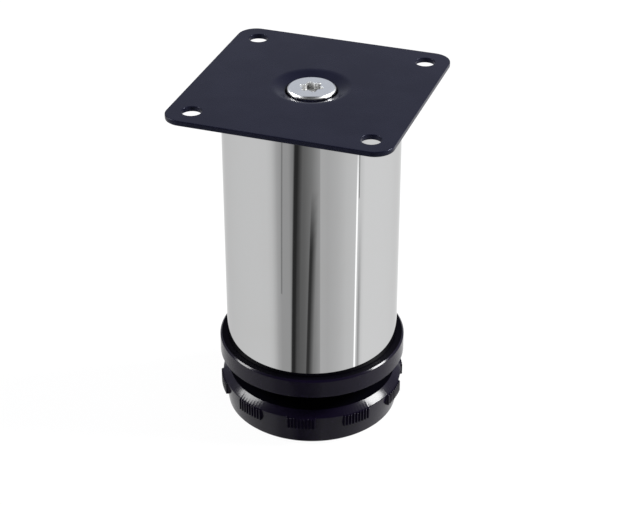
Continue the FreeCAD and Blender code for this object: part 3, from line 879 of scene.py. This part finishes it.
def floor_card(name, level, near, far, fade, lines, camera_side):
    """A card of painted reflection just above the floor, which the tube mirrors as upright bands.

    Each line gives the directions on the tube, in degrees right of the camera's side, where the tube mirrors
    it at the card's near and far reach, then its brightness and how far it covers what lies below it. The
    cover fades out over the last stretch.
    """
    def spot(degrees, reach):
        """Where a ray from the camera, mirrored by the tube at a direction, is after a level reach."""
        angle = math.radians(degrees)
        across, ahead = TUBE_RADIUS * math.sin(angle), TUBE_RADIUS * math.cos(angle)
        bounce = 2 * degrees + math.degrees(math.atan2(across, CAMERA_DISTANCE - ahead))
        start = TUBE_RADIUS * toward(camera_side, degrees, 0)
        return start + reach * toward(camera_side, bounce, 0) + Vector((0, 0, level))

    rows, glows = [], []
    for near_side, far_side, tone, cover in lines:
        row = []
        for step in range(CARD_STEPS + 1):
            share = (step / CARD_STEPS) ** 2
            reach = near + (far - near) * share
            row.append(spot(near_side + (far_side - near_side) * share, reach))
            glows.append((tone, cover * min(1, (far - reach) / fade)))
        rows.append(row)
    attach(glow_card(name, rows, glows), "stem")


def painted_dark_room_reflection(camera_side):
    """Painted shade in reflections: the dark side of the studio behind and above the camera, as a nearly
    black card, part of a dome with soft edges, that only glossy surfaces mirror.
    """
    radius = 1.4
    lowest, highest, widest = 12, 114, 90
    rows, glows = [], []
    for lift in range(lowest, highest + 1, 6):
        soft_edge = min(1, (lift - lowest) / 12) * min(1, (highest - lift) / 18)
        row = []
        for turn in range(-widest, widest + 1, 10):
            row.append(toward(camera_side, turn, lift) * radius)
            # Painted reflection of shade: a nearly black glow.
            glows.append((0.02, soft_edge * min(1, (widest - abs(turn)) / 20)))
        rows.append(row)
    glow_card("painted_dark_room_reflection", rows, glows)


def card_glow():
    """Each card's painted reflection: its brightness and cover, as set at its points."""
    material, bench = finish("studio_card")
    tone = bench.node("ShaderNodeAttribute", {"attribute_name": "glow"}, output="Color")
    cover = bench.node("ShaderNodeAttribute", {"attribute_name": "glow"}, output="Alpha")
    clear = bench.node("ShaderNodeBsdfTransparent")
    light = bench.node("ShaderNodeEmission", {}, {"Color": tone})
    shader = bench.node("ShaderNodeMixShader", {}, {0: cover, 1: clear, 2: light})
    bench.node("ShaderNodeOutputMaterial", {}, {"Surface": shader})
    return material


def painted_reflection_cards(camera_side):
    """Painted reflections: the pale and dark cards round the leg that its chrome mirrors as upright bands.
    """
    tones = (
        # Painted reflection: the brightness the tube mirrors at each direction, in degrees right of the
        # camera's side.
        (-90, 0.90), (-60, 0.93), (-36, 0.93), (-29, 0.92), (-26, 0.86), (-24, 0.75), (-22, 0.60),
        (-19.5, 0.51), (-14.5, 0.50), (-11, 0.30), (-8.5, 0.16), (-4.5, 0.20), (0, 0.30), (4.9, 0.50),
        (5.4, 0.68), (10, 0.66), (16, 0.73), (22, 0.845), (28, 0.90), (32, 0.94), (35, 1.06), (60, 1.08),
        (90, 1.0),
    )
    sheet = [(angle, angle, tone, 1) for angle, tone in tones]
    floor_card("painted_reflection_sheet", 0.2 * MM, 0, 1200 * MM, MM, sheet, camera_side)

    def strip(name, level, near, far, fade, near_side, far_side, tone, left_soft, core, right_soft):
        """A strip over the sheet: lengths in millimetres, then directions, brightness and soft sides."""
        steps = ((-core - left_soft, 0), (-core, 1), (core, 1), (core + right_soft, 0))
        lines = [(near_side + step, far_side + step, tone, cover) for step, cover in steps]
        floor_card(name, level * MM, near * MM, far * MM, fade * MM, lines, camera_side)

    # Painted reflections: dark, grey and bright bands over the sheet, seen only in the chrome.
    strip("dark_strip", 0.3, 33, 320, 60, -12.3, -6.6, 0.035, 1.0, 0.9, 3.2)
    strip("short_dark_strip", 0.4, 33, 150, 40, -3.1, 0.9, 0.05, 0.6, 0.6, 3.0)
    strip("thin_grey_strip", 0.5, 78, 320, 60, -19.6, -16.7, 0.30, 0.3, 0.25, 0.3)
    strip("bright_strip", 0.6, 33, 190, 45, 28.6, 29.8, 1.9, 0.25, 0.45, 0.25)
    strip("soft_grey_strip", 0.7, 33, 130, 60, 30.8, 31.4, 0.55, 0.4, 0.3, 1.8)
    strip("far_grey_strip", 0.8, 140, 320, 60, 30.7, 30.7, 0.45, 0.3, 0.25, 0.3)


def pale_floor():
    """White floor that the camera and bright metal see as plain white, with the leg's soft shadow kept.

    It goes up and down with the stem, so that the foot stands on it at any setting.
    """
    shell = Shell()
    half = 4.0
    shell.cap(shell.ring([(-half, -half, 0), (half, -half, 0), (half, half, 0), (-half, half, 0)]))
    floor = shell.piece("pale_floor")
    material, bench = finish("pale_floor")
    seen = bench.node("ShaderNodeLightPath", output="Is Camera Ray")
    mirrored = bench.node("ShaderNodeLightPath", output="Is Glossy Ray")
    matt = bench.node("ShaderNodeBsdfDiffuse", {}, {"Color": grey(0.88)})
    white = bench.node("ShaderNodeEmission", {}, {"Color": grey(1.0), "Strength": 1.0})
    shader = bench.node("ShaderNodeMixShader", {}, {0: 0.94 * seen + 0.75 * mirrored, 1: matt, 2: white})
    bench.node("ShaderNodeOutputMaterial", {}, {"Surface": shader})
    floor.data.materials.append(material)
    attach(floor, "stem")


def studio_world():
    """White to the camera, softer for the light it gives and for reflections."""
    world = bpy.data.worlds.new("studio_world")
    world.use_nodes = True
    bpy.context.scene.world = world
    bench = Bench(world.node_tree)
    seen = bench.node("ShaderNodeLightPath", output="Is Camera Ray")
    mirrored = bench.node("ShaderNodeLightPath", output="Is Glossy Ray")
    strength = 0.3 + 0.7 * seen + 0.2 * mirrored
    colour = bench.mix(seen, grey(1.0, (0.93, 0.97, 1.07)), grey(1.0))
    light = bench.node("ShaderNodeBackground", {}, {"Color": colour, "Strength": strength})
    bench.node("ShaderNodeOutputWorld", {}, {"Surface": light})


bpy.context.scene.view_settings.view_transform = "Standard"

dress(plate_sheet(), "mounting_plate", "leg", satin_black_paint())
dress(driven_screw(), "plate_screw", "leg", zinc_plating())
dress(chrome_tube(), "leg_tube", "leg", chrome_plating())
dress(plug_moulding(), "tube_plug", "leg", black_moulding("plug_plastic", 0.12, FLANGE_TOP))
thread_zinc = thread_zinc_plating()
dress(threaded_stem(), "foot_stem", "stem", thread_zinc)
dress(foot_moulding(), "foot", "foot", black_moulding("foot_plastic", 0.17, FOOT_TOP))
inner_steel = mill_steel()
for node, plating in (("top_cup", inner_steel), ("weld_nut", inner_steel), ("plug_nut", thread_zinc)):
    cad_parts[node].data.materials.clear()
    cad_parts[node].data.materials.append(plating)

camera_side = photo_camera()
softbox("right_softbox", camera_side, turn=93, lift=38, distance=1.0, size=0.3, power=20.0)
softbox("left_softbox", camera_side, turn=-96, lift=38, distance=1.0, size=0.34, power=10.5)
painted_reflection_cards(camera_side)
painted_dark_room_reflection(camera_side)
pale_floor()
studio_world()
